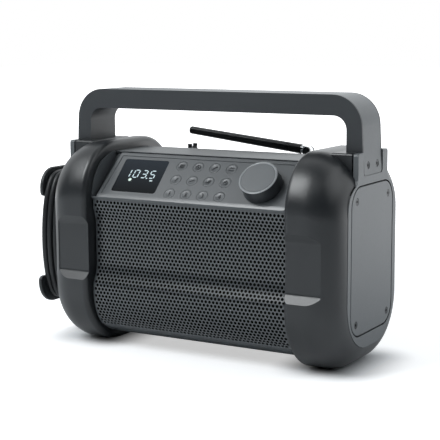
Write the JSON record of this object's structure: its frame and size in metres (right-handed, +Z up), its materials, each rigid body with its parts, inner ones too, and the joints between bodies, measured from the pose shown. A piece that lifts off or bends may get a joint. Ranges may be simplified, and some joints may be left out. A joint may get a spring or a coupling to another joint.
{
  "type": "jobsite radio",
  "caption": "Rugged portable radio: rounded cabinet with a bent perforated grille and sloping panel between end bumpers, bridge handle, cord winder and folding aerial.",
  "frame": {"origin": "middle of the footprint, on the surface the radio stands on", "axes": "+Z up, +X to the right end seen from the front, -Y to the front"},
  "size_m": [0.344, 0.16, 0.25],
  "materials": {
    "cabinet_plastic": "fine grained moulded plastic",
    "panel_plastic": "satin moulded plastic",
    "grille_metal": "perforated sheet, dark satin paint",
    "bumper_rubber": "firm moulded rubber, satin",
    "cap_plastic": "fine grained moulded plastic",
    "handle_plastic": "fine grained moulded plastic",
    "hook_plastic": "moulded plastic",
    "screw_steel": "blackened steel",
    "basket_metal": "black painted pressing",
    "cone_paper": "coated paper",
    "inner_plastic": "plain",
    "display_glass": "clear dark window",
    "key_rubber": "satin rubber",
    "board_green": "coated glass fibre board",
    "encoder_metal": "zinc plated",
    "knob_dark": "satin",
    "knob_light": "satin",
    "seal_rubber": "plain",
    "cord_rubber": "satin cord sheath",
    "antenna_black": "satin",
    "antenna_chrome": "polished",
    "antenna_rubber": "satin rubber",
    "supply_iron": "laminated core"
  },
  "bodies": {
    "cabinet": {"cabinet_shell": "cabinet_plastic", "rear_cover": "cabinet_plastic", "top_cover": "cabinet_plastic", "control_panel": "panel_plastic", "front_grille": "grille_metal", "bumper_left": "bumper_rubber", "bumper_right": "bumper_rubber", "end_cap_left": "cap_plastic", "end_cap_right": "cap_plastic", "side_door": "cap_plastic", "handle_strap": "cap_plastic", "handle_frame": "handle_plastic", "cord_hook_top": "hook_plastic", "cord_hook_bottom": "hook_plastic", "rear_screws": "screw_steel", "door_screws": "screw_steel", "bumper_screws": "screw_steel", "handle_screws": "screw_steel", "hook_screws": "screw_steel", "speaker_left_basket": "basket_metal", "speaker_right_basket": "basket_metal", "speaker_left_cone": "cone_paper", "speaker_right_cone": "cone_paper", "speaker_baffle": "inner_plastic", "display_window": "display_glass", "display_module": "inner_plastic", "keypad_mat": "key_rubber", "keypad_board": "board_green", "main_board": "board_green", "encoder_body": "encoder_metal", "door_seal": "seal_rubber", "cord_gland": "cord_rubber", "cord_lead": "cord_rubber", "cord_hank": "cord_rubber", "cord_tail": "cord_rubber", "mains_plug": "cord_rubber", "antenna_base": "cabinet_plastic", "antenna_rest": "hook_plastic", "power_supply": "supply_iron", "battery_pack": "inner_plastic"},
    "knob": {"knob_body": "knob_dark", "knob_cap": "knob_light", "encoder_shaft": "screw_steel"},
    "aerial_turntable": {"antenna_swivel": "antenna_black", "antenna_pin": "screw_steel"},
    "aerial_rod": {"antenna_knuckle": "antenna_chrome", "antenna_rod": "antenna_rubber"},
    "key_1": {"key_1": "key_rubber"},
    "key_2": {"key_2": "key_rubber"},
    "key_3": {"key_3": "key_rubber"},
    "key_4": {"key_4": "key_rubber"},
    "key_5": {"key_5": "key_rubber"},
    "key_6": {"key_6": "key_rubber"},
    "key_7": {"key_7": "key_rubber"},
    "key_8": {"key_8": "key_rubber"},
    "key_9": {"key_9": "key_rubber"},
    "key_10": {"key_10": "key_rubber"},
    "key_11": {"key_11": "key_rubber"},
    "key_12": {"key_12": "key_rubber"}
  },
  "joints": [
    {"name": "knob_turn", "type": "hinge", "parent": "cabinet", "child": "knob", "pos_m": [0.086, -0.05405, 0.17093], "axis": [0, -0.7071, 0.7071], "continuous": true},
    {"name": "aerial_swivel", "type": "hinge", "parent": "cabinet", "child": "aerial_turntable", "pos_m": [0.08, 0.055, 0.182], "axis": [0, 0, -1], "range_deg": [0, 90]},
    {"name": "aerial_tilt", "type": "hinge", "parent": "aerial_turntable", "child": "aerial_rod", "pos_m": [0.08, 0.055, 0.191], "axis": [0, 1, 0], "range_deg": [-6.2, 83.6]},
    {"name": "key_1_press", "type": "slide", "parent": "cabinet", "child": "key_1", "axis": [0, 0.7071, -0.7071], "range_m": [0, 0.0008], "stiffness_N_per_m": 700},
    {"name": "key_2_press", "type": "slide", "parent": "cabinet", "child": "key_2", "axis": [0, 0.7071, -0.7071], "range_m": [0, 0.0008], "stiffness_N_per_m": 700},
    {"name": "key_3_press", "type": "slide", "parent": "cabinet", "child": "key_3", "axis": [0, 0.7071, -0.7071], "range_m": [0, 0.0008], "stiffness_N_per_m": 700},
    {"name": "key_4_press", "type": "slide", "parent": "cabinet", "child": "key_4", "axis": [0, 0.7071, -0.7071], "range_m": [0, 0.0008], "stiffness_N_per_m": 700},
    {"name": "key_5_press", "type": "slide", "parent": "cabinet", "child": "key_5", "axis": [0, 0.7071, -0.7071], "range_m": [0, 0.0008], "stiffness_N_per_m": 700},
    {"name": "key_6_press", "type": "slide", "parent": "cabinet", "child": "key_6", "axis": [0, 0.7071, -0.7071], "range_m": [0, 0.0008], "stiffness_N_per_m": 700},
    {"name": "key_7_press", "type": "slide", "parent": "cabinet", "child": "key_7", "axis": [0, 0.7071, -0.7071], "range_m": [0, 0.0008], "stiffness_N_per_m": 700},
    {"name": "key_8_press", "type": "slide", "parent": "cabinet", "child": "key_8", "axis": [0, 0.7071, -0.7071], "range_m": [0, 0.0008], "stiffness_N_per_m": 700},
    {"name": "key_9_press", "type": "slide", "parent": "cabinet", "child": "key_9", "axis": [0, 0.7071, -0.7071], "range_m": [0, 0.0008], "stiffness_N_per_m": 700},
    {"name": "key_10_press", "type": "slide", "parent": "cabinet", "child": "key_10", "axis": [0, 0.7071, -0.7071], "range_m": [0, 0.0008], "stiffness_N_per_m": 700},
    {"name": "key_11_press", "type": "slide", "parent": "cabinet", "child": "key_11", "axis": [0, 0.7071, -0.7071], "range_m": [0, 0.0008], "stiffness_N_per_m": 700},
    {"name": "key_12_press", "type": "slide", "parent": "cabinet", "child": "key_12", "axis": [0, 0.7071, -0.7071], "range_m": [0, 0.0008], "stiffness_N_per_m": 700}
  ]
}
